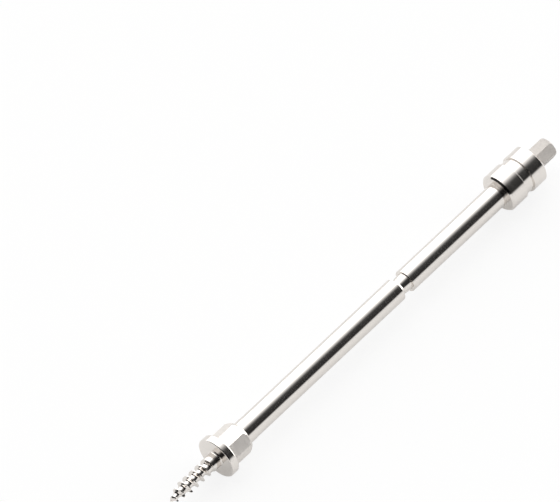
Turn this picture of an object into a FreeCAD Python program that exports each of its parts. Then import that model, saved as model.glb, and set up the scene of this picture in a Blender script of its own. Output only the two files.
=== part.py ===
import FreeCAD, Part

# A bone pin: one bar of implant steel, turned, milled and threaded.
# The pin lies along X. The origin is the centre of the flange's front face,
# which seats on the bone, the point looks to -X and the drive end to +X.
# Lengths are in millimetres and angles in degrees.

import os

import Sketcher

PIECE = "bone_pin"
BOSS_SIDES = 8
DRIVE_SIDES = 6

# Two points closer than this are one point.
SAME_POINT = 1e-6

# Every driving size, written once: cell alias, value, what it measures.
SIZES = [
    ("tip_reach", 12.0, "from the flange's front face to the point"),
    ("point_length", 1.0, "the steep cone of the point"),
    ("point_diameter", 1.85, "where the steep cone ends"),
    ("taper_length", 2.4, "from the point's cone to the full thread"),
    ("thread_diameter", 3.0, "outside of the thread, and the neck behind it"),
    ("core_diameter", 1.62, "bottom of the thread groove"),
    ("thread_pitch", 1.57, "from crest to crest"),
    ("thread_turns", 4.0, "full turns of constant depth"),
    ("crest_width", 0.18, "flat left on top of a crest"),
    ("crest_reach", 3.4, "from the flange to the first crest's rear edge"),
    ("bearing_flank", 5.0, "rear side of a crest, from square to the axis"),
    ("leading_flank", 32.0, "front side of a crest, from square to the axis"),
    ("bearing_root", 0.18, "root radius at the rear side of a crest"),
    ("leading_root", 0.45, "root radius at the front side of a crest"),
    ("point_turns", 2.0, "turns in which the groove narrows to the point"),
    ("core_taper", 11.0, "how fast it narrows, from the axis"),
    ("runout_turns", 0.6, "turns in which the groove leaves the bar"),
    ("runout_taper", 40.0, "how fast it climbs out, from the axis"),
    ("flute_count", 2, "cutting flutes round the point"),
    ("flute_radius", 0.7, "round of a cutting flute"),
    ("flute_offset", 1.16, "from the pin's axis to the flute's own axis"),
    ("flute_length", 2.1, "straight length of a flute, from the point"),
    ("flute_sweep", 3.0, "radius on which the cutter leaves the bar"),
    ("flute_angle", 56.0, "first flute, from the boss's marked corner"),
    ("neck_fillet", 0.25, "between the neck and the flange"),
    ("flange_diameter", 8.3, "flange that stops on the bone"),
    ("flange_thickness", 1.6, "flange between its two faces"),
    ("flange_edge", 0.25, "rounding of the flange's rims"),
    ("marked_corner", 24.0, "a corner of the boss, from upright towards -Y"),
    ("boss_flats", 6.2, "octagon boss, across its flats"),
    ("boss_length", 4.75, "octagon boss, from the flange's rear face"),
    ("boss_lead", 0.65, "length of the cone that leads onto the boss"),
    ("lead_angle", 30.0, "lead cones, from the pin's axis"),
    ("land_diameter", 4.6, "seat behind the boss"),
    ("land_length", 2.1, "seat behind the boss"),
    ("shaft_diameter", 4.5, "both lengths of the shaft"),
    ("shaft_length", 66.55, "from the seat to the coupling head"),
    ("notch_place", 47.7, "from the flange's front face to the notch"),
    ("notch_width", 2.5, "snap-off notch, along the shaft"),
    ("notch_front_diameter", 3.0, "notch at its front, where it is deepest"),
    ("notch_rear_diameter", 3.5, "notch at its rear"),
    ("notch_root", 0.6, "rounding at the front of the notch's bottom"),
    ("head_diameter", 7.7, "both rings of the coupling head"),
    ("front_ring", 3.7, "width of the front ring"),
    ("latch_groove", 2.0, "width of the groove between the rings"),
    ("latch_diameter", 7.0, "bottom of that groove"),
    ("rear_ring", 3.35, "width of the rear ring"),
    ("head_chamfer", 0.35, "chamfers at the head's two ends"),
    ("drive_flats", 3.7, "hexagon drive, across its flats"),
    ("drive_length", 4.55, "hexagon drive, behind the head"),
    ("drive_lead", 0.4, "length of the cone that leads onto the drive"),
    ("drive_turn", -9.0, "hexagon's corner, from the boss's marked corner"),
    ("cutter_clearance", 0.15, "how far a cutter's outline stands off the metal"),
]

# Sizes that follow from the driving ones, in the order of use.
DERIVED = [
    ("thread_radius", "=thread_diameter / 2"),
    ("core_radius", "=core_diameter / 2"),
    ("shaft_radius", "=shaft_diameter / 2"),
    ("flange_radius", "=flange_diameter / 2"),
    ("head_radius", "=head_diameter / 2"),
    ("boss_corners", "=boss_flats / 2 / cos(180 / %d)" % BOSS_SIDES),
    ("drive_corners", "=drive_flats / 2 / cos(180 / %d)" % DRIVE_SIDES),
    ("boss_end", "=flange_thickness + boss_length"),
    ("land_end", "=boss_end + land_length"),
    ("head_start", "=land_end + shaft_length"),
    ("groove_start", "=head_start + front_ring"),
    ("groove_end", "=groove_start + latch_groove"),
    ("head_end", "=groove_end + rear_ring"),
    ("pin_end", "=head_end + drive_length"),
    ("last_section", "=-crest_reach"),
    ("first_section", "=last_section - thread_turns * thread_pitch"),
    ("flute_direction", "=marked_corner + flute_angle"),
]


def make_sheet(document):
    """Write the sizes into the spreadsheet, one named cell a row."""
    sheet = document.addObject("Spreadsheet::Sheet", "Sizes")
    row = 0
    for alias, value, note in SIZES:
        row += 1
        sheet.set("A%d" % row, note)
        sheet.set("B%d" % row, str(value))
        sheet.setAlias("B%d" % row, alias)
    for alias, formula in DERIVED:
        row += 1
        sheet.set("B%d" % row, formula)
        sheet.setAlias("B%d" % row, alias)
        document.recompute()


def new_sketch(body, name, role):
    """Attach an empty sketch to one of the body's own planes."""
    plane = [item for item in body.Origin.OriginFeatures if item.Role == role][0]
    sketch = body.newObject("Sketcher::SketchObject", name)
    sketch.AttachmentSupport = [(plane, "")]
    sketch.MapMode = "FlatFace"
    return sketch


def value_of(sketch, expression):
    """Work out an expression of named cells."""
    return float(sketch.evalExpression(expression))


def hold(sketch, kind, references, expression):
    """Add a constraint whose size follows an expression of named cells."""
    value = value_of(sketch, expression)
    number = sketch.addConstraint(Sketcher.Constraint(kind, *references, value))
    sketch.setExpression("Constraints[%d]" % number, expression)


def hold_point(sketch, geometry, end, across, up):
    """Hold a point of the sketch at two expressions."""
    if up == "0":
        sketch.addConstraint(Sketcher.Constraint("PointOnObject", geometry, end, -1))
    else:
        hold(sketch, "DistanceY", (-1, 1, geometry, end), up)
    hold(sketch, "DistanceX", (-1, 1, geometry, end), across)


def corner_arc(before, corner, after, radius):
    """Round a corner: the arc's ends on its two sides, and the arc."""
    back = (before - corner).normalize()
    ahead = (after - corner).normalize()
    middle = (back + ahead).normalize()
    centre = corner + middle * (radius / abs(middle.cross(back).z))
    reach = abs((centre - corner).dot(back))
    entry = corner + back * reach
    leave = corner + ahead * reach
    return entry, leave, Part.Arc(entry, centre - middle * radius, leave)


def closed_outline(sketch, corners):
    """Draw straight runs round the corners, which may have a rounding."""
    count = len(corners)
    points = []
    for corner in corners:
        place = [value_of(sketch, expression) for expression in corner[:2]]
        points.append(FreeCAD.Vector(place[0], place[1], 0))
    starts = list(points)
    ends = [points[(index + 1) % count] for index in range(count)]
    arcs = {}
    for index, corner in enumerate(corners):
        if len(corner) == 3:
            radius = value_of(sketch, corner[2])
            following = points[(index + 1) % count]
            entry, leave, arc = corner_arc(points[index - 1], points[index], following, radius)
            ends[index - 1] = entry
            starts[index] = leave
            arcs[index] = arc
    first = sketch.GeometryCount
    for start, end in zip(starts, ends):
        sketch.addGeometry(Part.LineSegment(start, end), False)
    for index, corner in enumerate(corners):
        line = first + index
        previous = first + (index - 1) % count
        if index not in arcs:
            sketch.addConstraint(Sketcher.Constraint("Coincident", previous, 2, line, 1))
            hold_point(sketch, line, 1, corner[0], corner[1])
            continue
        arc = sketch.addGeometry(arcs[index], False)
        begins = (sketch.getPoint(arc, 1) - ends[index - 1]).Length < SAME_POINT
        entry, leave = (1, 2) if begins else (2, 1)
        sketch.addConstraint(Sketcher.Constraint("Tangent", previous, 2, arc, entry))
        sketch.addConstraint(Sketcher.Constraint("Tangent", line, 1, arc, leave))
        hold(sketch, "Radius", (arc,), corner[2])
        mark = sketch.addGeometry(Part.Point(points[index]), True)
        sketch.addConstraint(Sketcher.Constraint("PointOnObject", mark, 1, previous))
        sketch.addConstraint(Sketcher.Constraint("PointOnObject", mark, 1, line))
        hold_point(sketch, mark, 1, corner[0], corner[1])


def add_circle(sketch, across, up, radius):
    """Draw a circle whose place and radius follow expressions."""
    centre = FreeCAD.Vector(value_of(sketch, across), value_of(sketch, up), 0)
    circle = Part.Circle(centre, FreeCAD.Vector(0, 0, 1), value_of(sketch, radius))
    number = sketch.addGeometry(circle, False)
    hold_point(sketch, number, 3, across, up)
    hold(sketch, "Radius", (number,), radius)


def turned(body, kind, name, sketch):
    """Turn a sketch once round the pin's axis, as metal or as a cut."""
    feature = body.newObject(kind, name)
    feature.Profile = sketch
    feature.ReferenceAxis = (sketch, ["H_Axis"])
    feature.Angle = 360
    return feature


def turned_bar(body):
    """Turn the whole outline of the bar, from the point to the drive end."""
    sketch = new_sketch(body, "bar_outline", "XZ_Plane")
    lead = "Sizes.{0} - Sizes.{1} * tan(Sizes.lead_angle)"
    cone_end = "-Sizes.tip_reach + Sizes.point_length"
    closed_outline(sketch, [
        ("-Sizes.tip_reach", "0"),
        (cone_end, "Sizes.point_diameter / 2"),
        (cone_end + " + Sizes.taper_length", "Sizes.thread_radius"),
        ("0", "Sizes.thread_radius"),
        ("0", "Sizes.flange_radius"),
        ("Sizes.flange_thickness", "Sizes.flange_radius"),
        ("Sizes.flange_thickness", "Sizes.boss_corners"),
        ("Sizes.boss_end - Sizes.boss_lead", "Sizes.boss_corners"),
        ("Sizes.boss_end", lead.format("boss_corners", "boss_lead")),
        ("Sizes.boss_end", "Sizes.land_diameter / 2"),
        ("Sizes.land_end", "Sizes.land_diameter / 2"),
        ("Sizes.land_end", "Sizes.shaft_radius"),
        ("Sizes.head_start", "Sizes.shaft_radius"),
        ("Sizes.head_start", "Sizes.head_radius - Sizes.head_chamfer"),
        ("Sizes.head_start + Sizes.head_chamfer", "Sizes.head_radius"),
        ("Sizes.groove_start", "Sizes.head_radius"),
        ("Sizes.groove_start", "Sizes.latch_diameter / 2"),
        ("Sizes.groove_end", "Sizes.latch_diameter / 2"),
        ("Sizes.groove_end", "Sizes.head_radius"),
        ("Sizes.head_end - Sizes.head_chamfer", "Sizes.head_radius"),
        ("Sizes.head_end", "Sizes.head_radius - Sizes.head_chamfer"),
        ("Sizes.head_end", "Sizes.drive_corners"),
        ("Sizes.pin_end - Sizes.drive_lead", "Sizes.drive_corners"),
        ("Sizes.pin_end", lead.format("drive_corners", "drive_lead")),
        ("Sizes.pin_end", "0"),
    ])
    return turned(body, "PartDesign::Revolution", "turned_bar", sketch)


def ring_edges(feature, station, radius):
    """Name a feature's edges that circle the pin's axis at a station."""
    names = []
    for number, edge in enumerate(feature.Shape.Edges, 1):
        if isinstance(edge.Curve, Part.Circle):
            away = (edge.Curve.Center - FreeCAD.Vector(station, 0, 0)).Length
            if max(away, abs(edge.Curve.Radius - radius)) < SAME_POINT:
                names.append("Edge%d" % number)
    return names


def rounded_rings(body, name, radius, rings):
    """Round the edges that circle the axis at the given cells."""
    base = body.Tip
    names = []
    for station, ring in rings:
        names += ring_edges(base, value_of(base, station), value_of(base, ring))
    rounding = body.newObject("PartDesign::Fillet", name)
    rounding.Base = (base, names)
    rounding.setExpression("Radius", radius)


def milled_flats(body, name, sides, flats, corner, start, length):
    """Mill a turned length of the bar to a prism of equal flats."""
    sketch = new_sketch(body, name + "_outline", "YZ_Plane")
    sketch.setExpression("AttachmentOffset.Base.z", start)
    radius = "{0} / 2 / cos(180 / {1})".format(flats, sides)
    corners = []
    for number in range(sides):
        angle = "({0} + {1} * 360 / {2})".format(corner, number, sides)
        corners.append(("-{0} * sin{1}".format(radius, angle), "{0} * cos{1}".format(radius, angle)))
    closed_outline(sketch, corners)
    add_circle(sketch, "0", "0", radius + " + Sizes.cutter_clearance")
    cut = body.newObject("PartDesign::Pocket", name)
    cut.Profile = sketch
    cut.Reversed = True
    cut.setExpression("Length", length)


def snap_notch(body):
    """Turn the notch where the shaft is snapped off, deepest at its front."""
    sketch = new_sketch(body, "notch_outline", "XZ_Plane")
    outside = "Sizes.shaft_radius + Sizes.cutter_clearance"
    rear = "Sizes.notch_place + Sizes.notch_width"
    closed_outline(sketch, [
        ("Sizes.notch_place", outside),
        ("Sizes.notch_place", "Sizes.notch_front_diameter / 2", "Sizes.notch_root"),
        (rear, "Sizes.notch_rear_diameter / 2"),
        (rear, outside),
    ])
    turned(body, "PartDesign::Groove", "snap_notch", sketch)


def groove_section(body, name, station):
    """Draw the thread groove's section, from a crest's rear edge backwards."""
    sketch = new_sketch(body, name, "XZ_Plane")
    outside = "Sizes.thread_radius + Sizes.cutter_clearance"
    depth = "(Sizes.thread_radius - Sizes.core_radius)"
    rear = "{0} {1} * tan(Sizes.bearing_flank)"
    front = "{0} + Sizes.thread_pitch - Sizes.crest_width {1} * tan(Sizes.leading_flank)"
    closed_outline(sketch, [
        (rear.format(station, "- Sizes.cutter_clearance"), outside),
        (rear.format(station, "+ " + depth), "Sizes.core_radius", "Sizes.bearing_root"),
        (front.format(station, "- " + depth), "Sizes.core_radius", "Sizes.leading_root"),
        (front.format(station, "+ Sizes.cutter_clearance"), outside),
    ])
    return sketch


def helical_cut(body, name, sketch, turns, taper, towards_point):
    """Cut the groove along a helix of the thread's pitch, right-handed."""
    cut = body.newObject("PartDesign::SubtractiveHelix", name)
    cut.Profile = sketch
    cut.ReferenceAxis = (sketch, ["H_Axis"])
    cut.Mode = "pitch-turns-angle"
    cut.LeftHanded = False
    cut.Reversed = towards_point
    cut.setExpression("Pitch", "Sizes.thread_pitch")
    cut.setExpression("Turns", turns)
    cut.setExpression("Angle", taper)


def bone_thread(body):
    """Cut the bone thread: full depth, then narrowing, then its runout."""
    first = groove_section(body, "first_groove_section", "Sizes.first_section")
    helical_cut(body, "thread", first, "Sizes.thread_turns", "0", False)
    helical_cut(body, "thread_at_point", first, "Sizes.point_turns", "-Sizes.core_taper", True)
    last = groove_section(body, "last_groove_section", "Sizes.last_section")
    helical_cut(body, "thread_runout", last, "Sizes.runout_turns", "Sizes.runout_taper", False)


def cutting_flutes(body):
    """Mill the flutes that let the point drill its own hole."""
    entry = "-Sizes.tip_reach - Sizes.cutter_clearance"
    section = new_sketch(body, "flute_section", "YZ_Plane")
    section.setExpression("AttachmentOffset.Base.z", entry)
    across = "-Sizes.flute_offset * sin(Sizes.flute_direction)"
    up = "Sizes.flute_offset * cos(Sizes.flute_direction)"
    add_circle(section, across, up, "Sizes.flute_radius")

    path = new_sketch(body, "flute_path", "XZ_Plane")
    turn = FreeCAD.Rotation(FreeCAD.Vector(1, 0, 0), value_of(path, "Sizes.flute_direction"))
    path.AttachmentOffset = FreeCAD.Placement(FreeCAD.Vector(), turn)
    path.setExpression("AttachmentOffset.Rotation.Angle", "Sizes.flute_direction")
    leave = "-Sizes.tip_reach + Sizes.flute_length"
    top = "Sizes.thread_radius + Sizes.flute_radius + Sizes.cutter_clearance"
    offset = value_of(path, "Sizes.flute_offset")
    sweep = value_of(path, "Sizes.flute_sweep")
    start = FreeCAD.Vector(value_of(path, entry), offset, 0)
    bend = FreeCAD.Vector(value_of(path, leave), offset, 0)
    centre = bend + FreeCAD.Vector(0, sweep, 0)
    drop = centre.y - value_of(path, top)
    end = FreeCAD.Vector(centre.x + (sweep ** 2 - drop ** 2) ** 0.5, centre.y - drop, 0)
    middle = centre + ((bend + end) / 2 - centre).normalize() * sweep
    line = path.addGeometry(Part.LineSegment(start, bend), False)
    arc = path.addGeometry(Part.Arc(bend, middle, end), False)
    hold_point(path, line, 1, entry, "Sizes.flute_offset")
    hold_point(path, line, 2, leave, "Sizes.flute_offset")
    path.addConstraint(Sketcher.Constraint("Tangent", line, 2, arc, 1))
    hold(path, "Radius", (arc,), "Sizes.flute_sweep")
    hold(path, "DistanceY", (-1, 1, arc, 2), top)

    flute = body.newObject("PartDesign::SubtractivePipe", "cutting_flute")
    flute.Profile = section
    flute.Spine = path
    flutes = body.newObject("PartDesign::PolarPattern", "cutting_flutes")
    flutes.Originals = [flute]
    flutes.Axis = (section, ["N_Axis"])
    flutes.Angle = 360
    flutes.setExpression("Occurrences", "Sizes.flute_count")
    body.Tip = flutes


def check(document, body):
    """Stop if a feature failed or the finished pin isn't one sound solid."""
    for item in document.Objects:
        if "Invalid" in item.State or "Error" in item.State:
            raise RuntimeError("%s failed: %s" % (item.Name, item.State))
    shape = body.Shape
    if shape.isNull() or not shape.isValid() or len(shape.Solids) != 1:
        raise RuntimeError("the pin is not one sound solid")


def main():
    document = FreeCAD.newDocument("bone_pin_document")
    make_sheet(document)
    body = document.addObject("PartDesign::Body", PIECE)
    body.Label = PIECE
    body.Placement = FreeCAD.Placement()
    turned_bar(body)
    document.recompute()
    rounded_rings(body, "neck_fillet", "Sizes.neck_fillet", [("0", "Sizes.thread_radius")])
    document.recompute()
    rounded_rings(body, "flange_rims", "Sizes.flange_edge",
                  [("0", "Sizes.flange_radius"),
                   ("Sizes.flange_thickness", "Sizes.flange_radius")])
    document.recompute()
    milled_flats(body, "boss_flats", BOSS_SIDES, "Sizes.boss_flats", "Sizes.marked_corner",
                 "Sizes.flange_thickness", "Sizes.boss_length")
    document.recompute()
    milled_flats(body, "drive_flats", DRIVE_SIDES, "Sizes.drive_flats",
                 "Sizes.marked_corner + Sizes.drive_turn", "Sizes.head_end", "Sizes.drive_length")
    document.recompute()
    snap_notch(body)
    document.recompute()
    bone_thread(body)
    document.recompute()
    cutting_flutes(body)
    document.recompute()
    check(document, body)
    os.makedirs("parts", exist_ok=True)
    body.Shape.exportStep("parts/%s.step" % PIECE)


main()
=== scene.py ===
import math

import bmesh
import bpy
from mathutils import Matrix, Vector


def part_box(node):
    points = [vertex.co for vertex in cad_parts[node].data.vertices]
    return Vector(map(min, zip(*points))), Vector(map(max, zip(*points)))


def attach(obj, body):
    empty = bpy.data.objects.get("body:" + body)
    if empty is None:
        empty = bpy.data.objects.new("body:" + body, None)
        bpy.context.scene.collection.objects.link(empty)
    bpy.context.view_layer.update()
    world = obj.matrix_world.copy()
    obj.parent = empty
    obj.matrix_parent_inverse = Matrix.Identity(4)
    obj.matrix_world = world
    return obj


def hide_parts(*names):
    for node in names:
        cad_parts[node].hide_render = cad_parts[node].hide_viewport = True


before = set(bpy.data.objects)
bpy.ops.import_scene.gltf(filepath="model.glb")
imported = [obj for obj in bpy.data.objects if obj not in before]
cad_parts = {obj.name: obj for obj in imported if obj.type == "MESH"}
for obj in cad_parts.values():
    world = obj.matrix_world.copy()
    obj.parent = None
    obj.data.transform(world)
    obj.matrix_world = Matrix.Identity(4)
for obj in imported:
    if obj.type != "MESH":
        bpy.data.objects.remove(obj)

# A bone pin of implant steel, lying on a pale floor: the bone thread with its
# cutting flutes, the flange that stops on the bone, the milled octagon boss,
# the long polished shaft with its snap-off notch, the grooved coupling head and
# the hexagon drive. It is one bar, so it is one closed mesh.
# The pin lies along X with its point to -X. Lengths are in metres.

bl_info = {
    "name": "Bone Pin",
    "version": (1, 0, 0),
    "blender": (4, 5, 0),
    "location": "3D View > Sidebar > Bone Pin",
    "description": "Models a threaded bone pin with its flange, boss, notch, coupling head and drive",
    "category": "Add Mesh",
}

PIECE = "bone_pin_steel"
NODE = "bone_pin"
MM = 0.001
SAME_POINT = 1e-4 * MM
PIN_AXIS = Vector((1, 0, 0))
CENTRE = Vector((0, 0, 0))
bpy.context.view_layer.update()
CAD_LOW, CAD_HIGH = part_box(NODE)

BOSS_SIDES = 8
DRIVE_SIDES = 6

# One turn of the bar is cut into this many columns, so that each corner of
# the octagon and of the hexagon falls on a column.
COLUMNS = 240

# Steps in one turn of the thread, in a rounded corner, round a flute's cutter
# and in the bend on which that cutter leaves the bar.
THREAD_STEPS = 125
ROUNDING_STEPS = 4
FLUTE_COLUMNS = 62
BEND_STEPS = 16

# A straight run has a further point this far from a rounded end, or a third of
# the way along if that is nearer, which keeps the run's shading level.
HOLD = 0.04 * MM

# An edge shades sharp from this angle up. A face is a side of the boss if less
# than this of its normal lies along the pin. A face is in the thread if it lies
# inside this share of the thread's radius.
SHARP_FROM = math.radians(25)
SIDE_LEAN = 0.1
IN_THREAD = 0.995

# The materials' places on the mesh.
POLISHED, MILLED, BLASTED, THREADED = range(4)

# The marks in each finish are noise: how much finer noise it holds, the range
# that it keeps to, and the share by which it changes the roughness.
MARKS_DETAIL = 3.0
MARKS_ROUGHNESS = 0.6
MARKS_LOW = 0.3
MARKS_HIGH = 0.7
ROUGHNESS_SWING = 0.2

# How much of the floor is plain white instead of lit: in what the steel mirrors,
# and how much more to the camera. The rest of it keeps the pin's shadow.
WHITE_MIRRORED = 0.35
WHITE_TO_CAMERA = 0.5

# The studio round the pin, by the angle in degrees from straight up towards -Y,
# and how bright it is there as a share of the softbox: the softbox behind and
# above, its soft edge, the dark room in front, and the pale foot of that room.
STUDIO = [
    (-100, 0.4), (-80, 1.0), (-20, 1.0), (0, 0.43), (10, 0.18), (20, 0.05), (30, 0.02),
    (66, 0.01), (70, 0.03), (80, 0.45),
]

# The studio's two ends, by how much of a direction lies along the pin: a dark
# wall before the point, as a share of what it covers, and a bright panel behind
# the drive, as a share of the softbox.
DARK_WALL = 0.02
DARK_WALL_FULL = -0.55
DARK_WALL_STARTS = -0.25
PANEL = 1.5
PANEL_STARTS = 0.52
PANEL_FULL = 0.65

# The picture's own size in pixels, and where it shows the middle of the pin.
PICTURE_WIDTH = 560
PICTURE_HEIGHT = 502
MIDDLE_ACROSS = 360.5
MIDDLE_DOWN = 323.1
PIXELS_PER_MM = 5.667

# The camera sees from its distance divided by this to its distance times this.
CLIP_REACH = 100


def length(name, description, millimetres):
    """A size that the user can change, given in millimetres."""
    return bpy.props.FloatProperty(
        name=name, description=description, default=millimetres * MM,
        min=0, subtype="DISTANCE", unit="LENGTH", precision=5)


def angle(name, description, degrees):
    """An angle that the user can change, given in degrees."""
    return bpy.props.FloatProperty(
        name=name, description=description, default=math.radians(degrees),
        subtype="ANGLE", unit="ROTATION")


def number(name, description, value):
    """A plain number that the user can change."""
    return bpy.props.FloatProperty(name=name, description=description, default=value, min=0)


def linear(code):
    """Turn an sRGB hex colour into linear red, green and blue."""
    parts = [int(code[place:place + 2], 16) / 255 for place in (1, 3, 5)]
    return [part / 12.92 if part <= 0.04045 else ((part + 0.055) / 1.055) ** 2.4 for part in parts]


def colour(name, description, code):
    """A colour that the user can change, given as sRGB hex."""
    return bpy.props.FloatVectorProperty(
        name=name, description=description, default=linear(code), size=3,
        min=0, max=1, subtype="COLOR")


class BonePinThread(bpy.types.PropertyGroup):
    """Sizes of the threaded end."""

    tip_reach: length("Tip reach", "From the flange's front face to the point", -CAD_LOW.x / MM)
    point_length: length("Point length", "The steep cone of the point", 1.0)
    point_radius: length("Point radius", "Where the steep cone ends", 0.925)
    taper_length: length("Taper length", "From the point's cone to the full thread", 2.4)
    thread_radius: length("Thread radius", "Outside of the thread, and the neck behind it", 1.5)
    core_radius: length("Core radius", "Bottom of the thread groove", 0.81)
    pitch: length("Pitch", "From crest to crest", 1.57)
    full_turns: number("Full turns", "Turns of constant depth", 4.0)
    crest_width: length("Crest width", "Flat left on top of a crest", 0.18)
    crest_reach: length("Crest reach", "From the flange to the first crest's rear edge", 3.4)
    bearing_flank: angle("Bearing flank", "Rear side of a crest, from square to the axis", 5.0)
    leading_flank: angle("Leading flank", "Front side of a crest, from square to the axis", 32.0)
    bearing_root: length("Bearing root", "Root radius at the rear side of a crest", 0.18)
    leading_root: length("Leading root", "Root radius at the front side of a crest", 0.45)
    point_turns: number("Point turns", "Turns in which the groove narrows to the point", 2.0)
    core_taper: angle("Core taper", "How fast the groove narrows, from the axis", 11.0)
    runout_turns: number("Runout turns", "Turns in which the groove leaves the bar", 0.6)
    runout_taper: angle("Runout taper", "How fast the groove climbs out, from the axis", 40.0)
    flute_count: bpy.props.IntProperty(
        name="Flutes", description="Cutting flutes round the point", default=2, min=0)
    flute_radius: length("Flute radius", "Round of a cutting flute", 0.7)
    flute_offset: length("Flute offset", "From the pin's axis to the flute's own axis", 1.16)
    flute_length: length("Flute length", "Straight length of a flute, from the point", 2.1)
    flute_sweep: length("Flute sweep", "Radius on which the cutter leaves the bar", 3.0)
    flute_angle: angle("Flute angle", "First flute, from the boss's marked corner", 56.0)
    clearance: length("Cutter clearance", "How far a cutter's outline stands off the metal", 0.15)


class BonePinBar(bpy.types.PropertyGroup):
    """Sizes of the bar behind the thread."""

    neck_fillet: length("Neck fillet", "Between the neck and the flange", 0.25)
    flange_radius: length("Flange radius", "Flange that stops on the bone", 4.15)
    flange_thickness: length("Flange thickness", "Flange between its two faces", 1.6)
    flange_edge: length("Flange edge", "Rounding of the flange's rims", 0.25)
    marked_corner: angle("Marked corner", "A corner of the boss, from upright towards -Y", 24.0)
    boss_flats: length("Boss flats", "Octagon boss, across its flats", 6.2)
    boss_length: length("Boss length", "Octagon boss, from the flange's rear face", 4.75)
    boss_lead: length("Boss lead", "Length of the cone that leads onto the boss", 0.65)
    lead_angle: angle("Lead angle", "Lead cones, from the pin's axis", 30.0)
    land_radius: length("Land radius", "Seat behind the boss", 2.3)
    land_length: length("Land length", "Seat behind the boss", 2.1)
    shaft_radius: length("Shaft radius", "Both lengths of the shaft", 2.25)
    notch_place: length("Notch place", "From the flange's front face to the notch", 47.7)
    notch_width: length("Notch width", "Snap-off notch, along the shaft", 2.5)
    notch_front: length("Notch front radius", "Notch at its front, where it is deepest", 1.5)
    notch_rear: length("Notch rear radius", "Notch at its rear", 1.75)
    notch_root: length("Notch root", "Rounding at the front of the notch's bottom", 0.6)
    head_radius: length("Head radius", "Both rings of the coupling head", 3.85)
    front_ring: length("Front ring", "Width of the front ring", 3.7)
    latch_groove: length("Latch groove", "Width of the groove between the rings", 2.0)
    latch_radius: length("Latch radius", "Bottom of that groove", 3.5)
    rear_ring: length("Rear ring", "Width of the rear ring", 3.35)
    head_chamfer: length("Head chamfer", "Chamfers at the head's two ends", 0.35)
    drive_flats: length("Drive flats", "Hexagon drive, across its flats", 3.7)
    drive_length: length("Drive length", "Hexagon drive, behind the head", 4.55)
    drive_lead: length("Drive lead", "Length of the cone that leads onto the drive", 0.4)
    drive_turn: angle("Drive turn", "Hexagon's corner, from the boss's marked corner", -9.0)
    edge_break: length("Edge break", "Small round left on a machined edge", 0.035)


class BonePinFinish(bpy.types.PropertyGroup):
    """Colour and polish of the steel."""

    steel: colour("Steel", "Colour that implant steel reflects", "#E2DDD8")
    blasted_steel: colour("Blasted steel", "Colour that blasted steel reflects", "#CBC7C3")
    polished: number("Polished roughness", "Roughness of the polished lengths", 0.11)
    milled: number("Milled roughness", "Roughness of the boss's milled flats", 0.34)
    blasted: number("Blasted roughness", "Roughness of the drive", 0.8)
    threaded: number("Threaded roughness", "Roughness of the cut thread", 0.14)


class BonePinStage(bpy.types.PropertyGroup):
    """The floor, the light and the camera."""

    floor: colour("Floor", "Colour of the floor", "#F2F2F1")
    floor_size: bpy.props.FloatProperty(
        name="Floor size", description="Half the side of the floor", default=3.0, unit="LENGTH")
    light: number("Light", "Brightness of the overhead softbox", 2.1)
    azimuth: angle("Azimuth", "Camera's direction round the pin, from behind -Y", -48.3)
    elevation: angle("Elevation", "Camera's height above the floor", 56.2)
    distance: bpy.props.FloatProperty(
        name="Distance", description="From the camera to the pin", default=3.5, unit="LENGTH")


def stations():
    """Places along the pin that follow from its sizes."""
    thread = bpy.context.scene.bone_pin_thread
    bar = bpy.context.scene.bone_pin_bar
    place = {"cone_end": -thread.tip_reach + thread.point_length}
    place["taper_end"] = place["cone_end"] + thread.taper_length
    place["boss_end"] = bar.flange_thickness + bar.boss_length
    place["land_end"] = place["boss_end"] + bar.land_length
    place["notch_end"] = bar.notch_place + bar.notch_width
    place["pin_end"] = CAD_HIGH.x
    place["head_end"] = place["pin_end"] - bar.drive_length
    place["groove_end"] = place["head_end"] - bar.rear_ring
    place["groove_start"] = place["groove_end"] - bar.latch_groove
    place["head_start"] = place["groove_start"] - bar.front_ring
    return place


def corner_radius(flats, sides):
    """From the axis to a corner of a regular polygon."""
    return flats / 2 / math.cos(math.pi / sides)


def draw_outline(mesh, corners, closed):
    """Draw straight runs through corners of station, radius and rounding."""
    points = [Vector((station, 0, radius)) for station, radius, rounding in corners]
    reaches = []
    for place, corner in enumerate(corners):
        arriving = points[place] - points[place - 1]
        leaving = points[(place + 1) % len(points)] - points[place]
        reaches.append(corner[2] * math.tan(arriving.angle(leaving) / 2))
    vertices = [mesh.verts.new(point) for point in points]
    for end in range(0 if closed else 1, len(points)):
        start = end - 1
        run = points[end] - points[start]
        along = run.normalized()
        hold = min(HOLD, (run.length - reaches[start] - reaches[end]) / 3)
        chain = [vertices[start]]
        if reaches[start]:
            chain.append(mesh.verts.new(points[start] + along * (reaches[start] + hold)))
        if reaches[end]:
            chain.append(mesh.verts.new(points[end] - along * (reaches[end] + hold)))
        chain.append(vertices[end])
        for pair in zip(chain, chain[1:]):
            mesh.edges.new(pair)
    for vertex, reach in zip(vertices, reaches):
        if reach:
            bmesh.ops.bevel(
                mesh, geom=[vertex], offset=reach, segments=ROUNDING_STEPS,
                profile=0.5, affect="VERTICES", material=-1)


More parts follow.
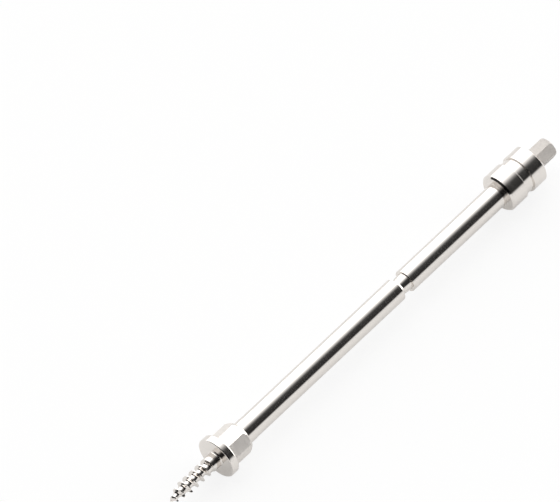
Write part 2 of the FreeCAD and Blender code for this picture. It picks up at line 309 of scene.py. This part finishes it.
def bar_corners():
    """Corners of the turned outline, from the point to the drive end."""
    thread = bpy.context.scene.bone_pin_thread
    bar = bpy.context.scene.bone_pin_bar
    place = stations()
    slope = math.tan(bar.lead_angle)
    boss = corner_radius(bar.boss_flats, BOSS_SIDES)
    drive = corner_radius(bar.drive_flats, DRIVE_SIDES)
    chamfered = bar.head_radius - bar.head_chamfer
    edge = bar.edge_break
    return [
        (-thread.tip_reach, 0, 0),
        (place["cone_end"], thread.point_radius, 0),
        (place["taper_end"], thread.thread_radius, 0),
        (0, thread.thread_radius, bar.neck_fillet),
        (0, bar.flange_radius, bar.flange_edge),
        (bar.flange_thickness, bar.flange_radius, bar.flange_edge),
        (bar.flange_thickness, boss, 0),
        (place["boss_end"] - bar.boss_lead, boss, 0),
        (place["boss_end"], boss - bar.boss_lead * slope, 0),
        (place["boss_end"], bar.land_radius, 0),
        (place["land_end"], bar.land_radius, 0),
        (place["land_end"], bar.shaft_radius, 0),
        (bar.notch_place, bar.shaft_radius, edge),
        (bar.notch_place, bar.notch_front, bar.notch_root),
        (place["notch_end"], bar.notch_rear, edge),
        (place["notch_end"], bar.shaft_radius, edge),
        (place["head_start"], bar.shaft_radius, edge),
        (place["head_start"], chamfered, edge),
        (place["head_start"] + bar.head_chamfer, bar.head_radius, edge),
        (place["groove_start"], bar.head_radius, edge),
        (place["groove_start"], bar.latch_radius, edge),
        (place["groove_end"], bar.latch_radius, edge),
        (place["groove_end"], bar.head_radius, edge),
        (place["head_end"] - bar.head_chamfer, bar.head_radius, edge),
        (place["head_end"], chamfered, edge),
        (place["head_end"], drive, 0),
        (place["pin_end"] - bar.drive_lead, drive, 0),
        (place["pin_end"], drive - bar.drive_lead * slope, 0),
        (place["pin_end"], 0, 0),
    ]


def turned_bar():
    """Turn the outline once round the pin's axis."""
    mesh = bmesh.new()
    draw_outline(mesh, bar_corners(), False)
    turn = Matrix.Rotation(bpy.context.scene.bone_pin_bar.marked_corner, 3, PIN_AXIS)
    bmesh.ops.rotate(mesh, verts=mesh.verts, cent=CENTRE, matrix=turn)
    bmesh.ops.spin(
        mesh, geom=mesh.verts[:] + mesh.edges[:], cent=CENTRE, axis=PIN_AXIS,
        angle=2 * math.pi, steps=COLUMNS, use_merge=True)
    bmesh.ops.remove_doubles(mesh, verts=mesh.verts, dist=SAME_POINT)
    bmesh.ops.recalc_face_normals(mesh, faces=mesh.faces)
    return mesh


def off_axis(point):
    """A point's distance from the pin's axis."""
    return math.hypot(point.y, point.z)


def mill_flats(mesh, flats, sides, corner, start, end, lead):
    """Mill a turned length to a prism, with its flats running out on the lead cone."""
    slope = math.tan(bpy.context.scene.bone_pin_bar.lead_angle)
    largest = corner_radius(flats, sides)
    cone_end = largest - lead * slope
    side = 2 * math.pi / sides
    inside = [
        vertex for vertex in mesh.verts
        if start - SAME_POINT < vertex.co.x < end + SAME_POINT
        and off_axis(vertex.co) < largest + SAME_POINT
    ]
    for vertex in inside:
        turn = math.atan2(-vertex.co.y, vertex.co.z) - corner
        flat = flats / 2 / math.cos(turn % side - side / 2)
        radius = off_axis(vertex.co)
        if radius < flat:
            continue
        if abs(vertex.co.x - (end - lead)) < SAME_POINT:
            vertex.co.x = min(end, end - (flat - cone_end) / slope)
        vertex.co.y *= flat / radius
        vertex.co.z *= flat / radius
    bmesh.ops.remove_doubles(mesh, verts=inside, dist=SAME_POINT)


def groove_corners():
    """Section of the thread groove, from a crest's rear edge to the next one's front edge."""
    thread = bpy.context.scene.bone_pin_thread
    depth = thread.thread_radius - thread.core_radius
    bearing = math.tan(thread.bearing_flank)
    leading = math.tan(thread.leading_flank)
    rear = -thread.crest_reach - thread.full_turns * thread.pitch
    front = rear + thread.pitch - thread.crest_width
    outside = thread.thread_radius + thread.clearance
    return [
        (rear - thread.clearance * bearing, outside, 0),
        (rear + depth * bearing, thread.core_radius, thread.bearing_root),
        (front - depth * leading, thread.core_radius, thread.leading_root),
        (front + thread.clearance * leading, outside, 0),
    ]


def groove_place(turns):
    """Where the groove's section stands after so many turns of the thread."""
    thread = bpy.context.scene.bone_pin_thread
    sink = min(turns, 0) * math.tan(thread.core_taper)
    climb = max(turns - thread.full_turns, 0) * math.tan(thread.runout_taper)
    shift = Vector((turns, 0, sink + climb)) * thread.pitch
    return Matrix.Rotation(2 * math.pi * turns, 4, PIN_AXIS) @ Matrix.Translation(shift)


def swept_loop(mesh, loop, places):
    """Carry a closed loop of edges through places, and close both its ends."""
    for before, after in zip(places, places[1:]):
        made = bmesh.ops.extrude_edge_only(mesh, edges=loop)["geom"]
        loop = [item for item in made if isinstance(item, bmesh.types.BMEdge)]
        points = [item for item in made if isinstance(item, bmesh.types.BMVert)]
        bmesh.ops.transform(mesh, matrix=after @ before.inverted(), verts=points)
    bmesh.ops.holes_fill(mesh, edges=mesh.edges)
    bmesh.ops.recalc_face_normals(mesh, faces=mesh.faces)


def thread_cutter():
    """The groove of the bone thread: from the point, at full depth, then climbing out."""
    thread = bpy.context.scene.bone_pin_thread
    mesh = bmesh.new()
    draw_outline(mesh, groove_corners(), True)
    first = -thread.point_turns
    turns = thread.point_turns + thread.full_turns + thread.runout_turns
    steps = round(turns * THREAD_STEPS)
    places = [groove_place(first + turns * step / steps) for step in range(steps + 1)]
    bmesh.ops.transform(mesh, matrix=places[0], verts=mesh.verts)
    swept_loop(mesh, mesh.edges[:], places)
    return mesh


def flute_cutter(turn):
    """A round cutter that runs along the point, then swings out of the bar."""
    thread = bpy.context.scene.bone_pin_thread
    mesh = bmesh.new()
    entry = -thread.tip_reach - thread.clearance
    leave = -thread.tip_reach + thread.flute_length
    upright = Matrix.Rotation(math.pi / 2, 4, "Y")
    start = Matrix.Translation((entry, 0, thread.flute_offset)) @ upright
    bmesh.ops.create_circle(mesh, segments=FLUTE_COLUMNS, radius=thread.flute_radius, matrix=start)
    centre = Vector((leave, 0, thread.flute_offset + thread.flute_sweep))
    top = thread.thread_radius + thread.flute_radius + thread.clearance
    swing = math.acos((centre.z - top) / thread.flute_sweep)
    places = [Matrix.Translation((entry, 0, 0)), Matrix.Translation((leave, 0, 0))]
    to_centre = Matrix.Translation(centre)
    for step in range(1, BEND_STEPS + 1):
        bend = Matrix.Rotation(-swing * step / BEND_STEPS, 4, "Y")
        places.append(to_centre @ bend @ to_centre.inverted() @ places[1])
    swept_loop(mesh, mesh.edges[:], places)
    bmesh.ops.rotate(mesh, verts=mesh.verts, cent=CENTRE, matrix=Matrix.Rotation(turn, 3, PIN_AXIS))
    return mesh


def new_object(name, mesh):
    """Put a finished mesh into the scene as an object at the origin."""
    data = bpy.data.meshes.new(name)
    mesh.to_mesh(data)
    mesh.free()
    made = bpy.data.objects.new(name, data)
    bpy.context.scene.collection.objects.link(made)
    return made


def cut_away(piece, cutter):
    """Take a cutter's volume out of a piece, and the cutter out of the scene."""
    modifier = piece.modifiers.new("cut", "BOOLEAN")
    modifier.operation = "DIFFERENCE"
    modifier.solver = "MANIFOLD"
    modifier.object = cutter
    evaluated = piece.evaluated_get(bpy.context.evaluated_depsgraph_get())
    blank = piece.data
    piece.data = bpy.data.meshes.new_from_object(evaluated)
    piece.data.materials.clear()
    piece.modifiers.clear()
    bpy.data.meshes.remove(blank)
    bpy.data.meshes.remove(cutter.data)


def finish_surfaces(piece):
    """Give each face its finish, and shade across the small angles only."""
    thread = bpy.context.scene.bone_pin_thread
    bar = bpy.context.scene.bone_pin_bar
    place = stations()
    mesh = bmesh.new()
    mesh.from_mesh(piece.data)
    bmesh.ops.dissolve_degenerate(mesh, edges=mesh.edges, dist=SAME_POINT)
    for face in mesh.faces:
        middle = face.calc_center_median()
        face.smooth = True
        if middle.x > place["head_end"] + SAME_POINT:
            face.material_index = BLASTED
        elif bar.flange_thickness < middle.x < place["boss_end"] and abs(face.normal.x) < SIDE_LEAN:
            face.material_index = MILLED
        elif middle.x < -bar.neck_fillet and off_axis(middle) < thread.thread_radius * IN_THREAD:
            face.material_index = THREADED
    if not mesh.faces or any(not edge.is_manifold for edge in mesh.edges):
        raise RuntimeError("the pin's mesh is not closed")
    for edge in mesh.edges:
        one, other = edge.link_faces
        one_finish = one.material_index == other.material_index
        edge.smooth = one_finish and edge.calc_face_angle() < SHARP_FROM
    mesh.to_mesh(piece.data)
    mesh.free()


def add_node(tree, kind, settings, inputs):
    """Add a node with its settings, and its inputs as values or as links."""
    made = tree.nodes.new(kind)
    for name, value in settings.items():
        setattr(made, name, value)
    for name, value in inputs.items():
        if isinstance(value, bpy.types.NodeSocket):
            tree.links.new(value, made.inputs[name])
        else:
            made.inputs[name].default_value = value
    return made


def implant_steel(name, steel, roughness, marks_size, marks_depth):
    """Stainless implant steel, with marks of a size along X, Y and Z and a depth in millimetres."""
    material = bpy.data.materials.new(name)
    material.use_nodes = True
    tree = material.node_tree
    tree.nodes.clear()
    place = add_node(tree, "ShaderNodeTexCoord", {}, {})
    stretch = add_node(tree, "ShaderNodeMapping", {}, {
        "Vector": place.outputs["Object"], "Scale": [1 / (size * MM) for size in marks_size]})
    marks = add_node(tree, "ShaderNodeTexNoise", {}, {
        "Vector": stretch.outputs["Vector"], "Scale": 1.0,
        "Detail": MARKS_DETAIL, "Roughness": MARKS_ROUGHNESS})
    spread = add_node(tree, "ShaderNodeMapRange", {}, {
        "Value": marks.outputs["Fac"], "From Min": MARKS_LOW, "From Max": MARKS_HIGH,
        "To Min": roughness * (1 - ROUGHNESS_SWING), "To Max": roughness * (1 + ROUGHNESS_SWING)})
    bump = add_node(tree, "ShaderNodeBump", {}, {
        "Height": marks.outputs["Fac"], "Distance": marks_depth * MM, "Strength": 1.0})
    shader = add_node(tree, "ShaderNodeBsdfPrincipled", {}, {
        "Base Color": (*steel, 1), "Metallic": 1.0,
        "Roughness": spread.outputs["Result"], "Normal": bump.outputs["Normal"]})
    add_node(tree, "ShaderNodeOutputMaterial", {}, {"Surface": shader.outputs["BSDF"]})
    return material


# Turned and then polished. It mirrors the studio in long clear bands of white and
# black. Polishing marks are too fine to show, so its rings are drawn coarser.
def polished_implant_steel(finish):
    """The steel of the flange, the shaft, the notch and the head."""
    return implant_steel(
        "polished_implant_steel", finish.steel, finish.polished,
        marks_size=(0.3, 9, 9), marks_depth=0.0004)


# Left as the cutter leaves it. Each flat is one soft grey with no clear
# reflection. The cutter's marks are too fine to show, so they are drawn coarser.
def milled_implant_steel(finish):
    """The steel of the boss's flats."""
    return implant_steel(
        "milled_implant_steel", finish.steel, finish.milled,
        marks_size=(0.25, 2, 2), marks_depth=0.004)


# Blasted with fine beads. It is an even satin grey, darker than the rest. The
# beads' dents are too fine to show, so they are drawn coarser.
def blasted_implant_steel(finish):
    """The steel of the drive."""
    return implant_steel(
        "blasted_implant_steel", finish.blasted_steel, finish.blasted,
        marks_size=(0.15, 0.15, 0.15), marks_depth=0.004)


# Cut and then lightly polished. It glints in small broken patches of white and
# black. The marks along the groove are too fine to show, so they are drawn coarser.
def threaded_implant_steel(finish):
    """The steel of the thread's groove, the point and the flutes."""
    return implant_steel(
        "threaded_implant_steel", finish.steel, finish.threaded,
        marks_size=(0.2, 0.8, 0.8), marks_depth=0.003)


# In the order of their places on the mesh.
STEELS = (polished_implant_steel, milled_implant_steel, blasted_implant_steel, threaded_implant_steel)


class OBJECT_OT_bone_pin_steel(bpy.types.Operator):
    """Model the whole pin: turned, milled, threaded and fluted from one bar"""

    bl_idname = "object.bone_pin_steel"
    bl_label = "Bone Pin"

    def execute(self, context):
        thread = context.scene.bone_pin_thread
        bar = context.scene.bone_pin_bar
        place = stations()
        blank = turned_bar()
        mill_flats(
            blank, bar.boss_flats, BOSS_SIDES, bar.marked_corner,
            bar.flange_thickness, place["boss_end"], bar.boss_lead)
        mill_flats(
            blank, bar.drive_flats, DRIVE_SIDES, bar.marked_corner + bar.drive_turn,
            place["head_end"], place["pin_end"], bar.drive_lead)
        pin = new_object(PIECE, blank)
        cut_away(pin, new_object("thread_cutter", thread_cutter()))
        for flute in range(thread.flute_count):
            turn = bar.marked_corner + thread.flute_angle + 2 * math.pi * flute / thread.flute_count
            cut_away(pin, new_object("flute_cutter", flute_cutter(turn)))
        for steel in STEELS:
            pin.data.materials.append(steel(context.scene.bone_pin_finish))
        finish_surfaces(pin)
        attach(pin, "root")
        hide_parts(NODE)
        return {"FINISHED"}


class OBJECT_OT_bone_pin_stage(bpy.types.Operator):
    """Set up the floor, the studio light and the camera"""

    bl_idname = "object.bone_pin_stage"
    bl_label = "Stage"

    def execute(self, context):
        stage = context.scene.bone_pin_stage
        make_floor(stage)
        light_studio(stage)
        place_camera(stage)
        context.scene.view_settings.view_transform = "Standard"
        return {"FINISHED"}


def make_floor(stage):
    """Lay a pale matt floor under the flange, mixed with plain white where it is seen."""
    mesh = bmesh.new()
    under = Matrix.Translation((0, 0, CAD_LOW.z))
    bmesh.ops.create_grid(mesh, x_segments=1, y_segments=1, size=stage.floor_size, matrix=under)
    floor = new_object("floor", mesh)
    material = bpy.data.materials.new("matt_floor")
    material.use_nodes = True
    tree = material.node_tree
    tree.nodes.clear()
    path = add_node(tree, "ShaderNodeLightPath", {}, {})
    matt = add_node(tree, "ShaderNodeBsdfDiffuse", {}, {"Color": (*stage.floor, 1)})
    white = add_node(tree, "ShaderNodeEmission", {}, {"Color": (1, 1, 1, 1), "Strength": 1.0})
    unlit = add_node(tree, "ShaderNodeMath", {"operation": "SUBTRACT"}, {
        0: 1.0, 1: path.outputs["Is Diffuse Ray"]})
    mirrored = add_node(tree, "ShaderNodeMath", {"operation": "MULTIPLY"}, {
        0: unlit.outputs["Value"], 1: WHITE_MIRRORED})
    share = add_node(tree, "ShaderNodeMath", {"operation": "MULTIPLY_ADD"}, {
        0: path.outputs["Is Camera Ray"], 1: WHITE_TO_CAMERA, 2: mirrored.outputs["Value"]})
    seen = add_node(tree, "ShaderNodeMixShader", {}, {
        0: share.outputs["Value"], 1: matt.outputs["BSDF"], 2: white.outputs["Emission"]})
    add_node(tree, "ShaderNodeOutputMaterial", {}, {"Surface": seen.outputs["Shader"]})
    floor.data.materials.append(material)


def light_studio(stage):
    """Light the pin from a softbox overhead and behind it. The camera sees plain white instead."""
    world = bpy.data.worlds.new("studio")
    bpy.context.scene.world = world
    world.use_nodes = True
    tree = world.node_tree
    tree.nodes.clear()
    place = add_node(tree, "ShaderNodeTexCoord", {}, {})
    parts = add_node(tree, "ShaderNodeSeparateXYZ", {}, {"Vector": place.outputs["Generated"]})
    towards = add_node(tree, "ShaderNodeMath", {"operation": "MULTIPLY"}, {0: parts.outputs["Y"], 1: -1.0})
    lean = add_node(tree, "ShaderNodeMath", {"operation": "ARCTAN2"}, {
        0: towards.outputs["Value"], 1: parts.outputs["Z"]})
    share = add_node(tree, "ShaderNodeMapRange", {}, {
        "Value": lean.outputs["Value"], "From Min": -math.pi, "From Max": math.pi})
    ramp = add_node(tree, "ShaderNodeValToRGB", {}, {"Fac": share.outputs["Result"]})
    stops = ramp.color_ramp.elements
    while len(stops) < len(STUDIO):
        stops.new(0)
    for stop, (degrees, bright) in zip(stops, STUDIO):
        stop.position = degrees / 360 + 0.5
        stop.color = (bright, bright, bright, 1)
    dark_wall = add_node(tree, "ShaderNodeMapRange", {}, {
        "Value": parts.outputs["X"], "From Min": DARK_WALL_FULL, "From Max": DARK_WALL_STARTS,
        "To Min": DARK_WALL, "To Max": 1.0})
    panel = add_node(tree, "ShaderNodeMapRange", {}, {
        "Value": parts.outputs["X"], "From Min": PANEL_STARTS, "From Max": PANEL_FULL,
        "To Min": 0.0, "To Max": PANEL})
    walled = add_node(tree, "ShaderNodeMath", {"operation": "MULTIPLY"}, {
        0: ramp.outputs["Color"], 1: dark_wall.outputs["Result"]})
    whole = add_node(tree, "ShaderNodeMath", {"operation": "MAXIMUM"}, {
        0: walled.outputs["Value"], 1: panel.outputs["Result"]})
    strength = add_node(tree, "ShaderNodeMath", {"operation": "MULTIPLY"}, {
        0: whole.outputs["Value"], 1: stage.light})
    path = add_node(tree, "ShaderNodeLightPath", {}, {})
    room = add_node(tree, "ShaderNodeBackground", {}, {
        "Color": (1, 1, 1, 1), "Strength": strength.outputs["Value"]})
    white = add_node(tree, "ShaderNodeBackground", {}, {"Color": (1, 1, 1, 1), "Strength": 1.0})
    seen = add_node(tree, "ShaderNodeMixShader", {}, {
        0: path.outputs["Is Camera Ray"], 1: room.outputs["Background"], 2: white.outputs["Background"]})
    add_node(tree, "ShaderNodeOutputWorld", {}, {"Surface": seen.outputs["Shader"]})


def place_camera(stage):
    """Look down on the pin with a long lens, as the picture does."""
    lens = bpy.data.cameras.new("camera")
    camera = bpy.data.objects.new("camera", lens)
    bpy.context.scene.collection.objects.link(camera)
    bpy.context.scene.camera = camera
    turn, rise = stage.azimuth, stage.elevation
    back = Vector((math.sin(turn) * math.cos(rise), -math.cos(turn) * math.cos(rise), math.sin(rise)))
    right = Vector((math.cos(turn), math.sin(turn), 0))
    up = back.cross(right)
    middle = (CAD_LOW.x + CAD_HIGH.x) / 2 * PIN_AXIS
    shift_right = (PICTURE_WIDTH / 2 - MIDDLE_ACROSS) / PIXELS_PER_MM * MM
    shift_up = (MIDDLE_DOWN - PICTURE_HEIGHT / 2) / PIXELS_PER_MM * MM
    aim = middle + right * shift_right + up * shift_up
    camera.location = aim + back * stage.distance
    camera.rotation_mode = "QUATERNION"
    camera.rotation_quaternion = back.to_track_quat("Z", "Y")
    lens.lens = lens.sensor_width * stage.distance * PIXELS_PER_MM / (PICTURE_WIDTH * MM)
    lens.clip_start = stage.distance / CLIP_REACH
    lens.clip_end = stage.distance * CLIP_REACH


class VIEW3D_PT_bone_pin(bpy.types.Panel):
    """Lists the pin and its stage"""

    bl_label = "Bone Pin"
    bl_space_type = "VIEW_3D"
    bl_region_type = "UI"
    bl_category = "Bone Pin"

    def draw(self, context):
        for operator in OPERATORS:
            self.layout.operator(operator.bl_idname)


OPERATORS = (OBJECT_OT_bone_pin_steel, OBJECT_OT_bone_pin_stage)
GROUPS = {
    "bone_pin_thread": BonePinThread,
    "bone_pin_bar": BonePinBar,
    "bone_pin_finish": BonePinFinish,
    "bone_pin_stage": BonePinStage,
}


def register():
    for item in (*GROUPS.values(), *OPERATORS, VIEW3D_PT_bone_pin):
        bpy.utils.register_class(item)
    for name, group in GROUPS.items():
        setattr(bpy.types.Scene, name, bpy.props.PointerProperty(type=group))


def unregister():
    for name in GROUPS:
        delattr(bpy.types.Scene, name)
    for item in (VIEW3D_PT_bone_pin, *reversed(OPERATORS), *reversed(GROUPS.values())):
        bpy.utils.unregister_class(item)


def main():
    register()
    bpy.ops.object.bone_pin_steel()
    bpy.ops.object.bone_pin_stage()


if __name__ == "__main__":
    main()
